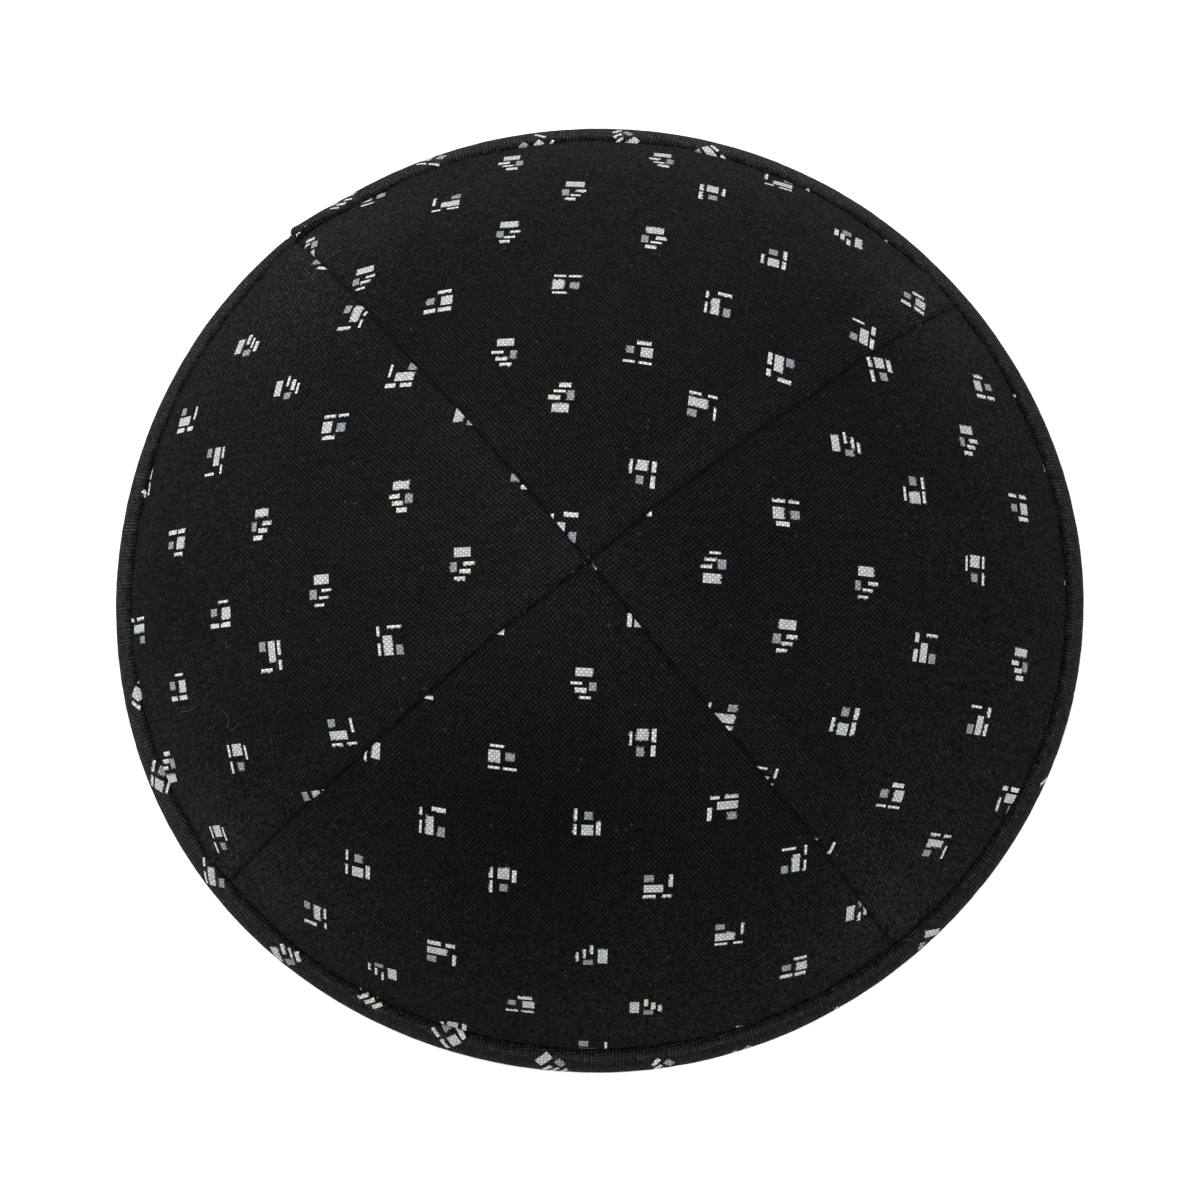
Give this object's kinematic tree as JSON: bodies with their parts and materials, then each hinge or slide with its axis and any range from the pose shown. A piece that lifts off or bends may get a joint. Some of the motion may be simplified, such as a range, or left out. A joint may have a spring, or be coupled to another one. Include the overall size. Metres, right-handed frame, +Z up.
{
  "type": "kippah",
  "caption": "Round cotton skullcap of quarter panels sewn to a low dome, with a small block print and a narrow bound rim sewn down in a groove.",
  "frame": {"origin": "middle of the rim on the surface that the cap rests on, under the crown's tip", "axes": "+Z up through the crown's tip; +X to the right and -Y to the front of someone who looks down on the cap"},
  "size_m": [0.165, 0.162, 0.055],
  "materials": {
    "printed_cotton": "matte black plain-weave cotton with a small pale grey, cream and slate block print",
    "binding_cotton": "matte black plain-weave cotton of the same print, cut on the bias and folded"
  },
  "bodies": {
    "root": {"panel_back": "printed_cotton", "panel_left": "printed_cotton", "panel_front": "printed_cotton", "panel_right": "printed_cotton", "rim_binding": "binding_cotton"}
  },
  "joints": []
}
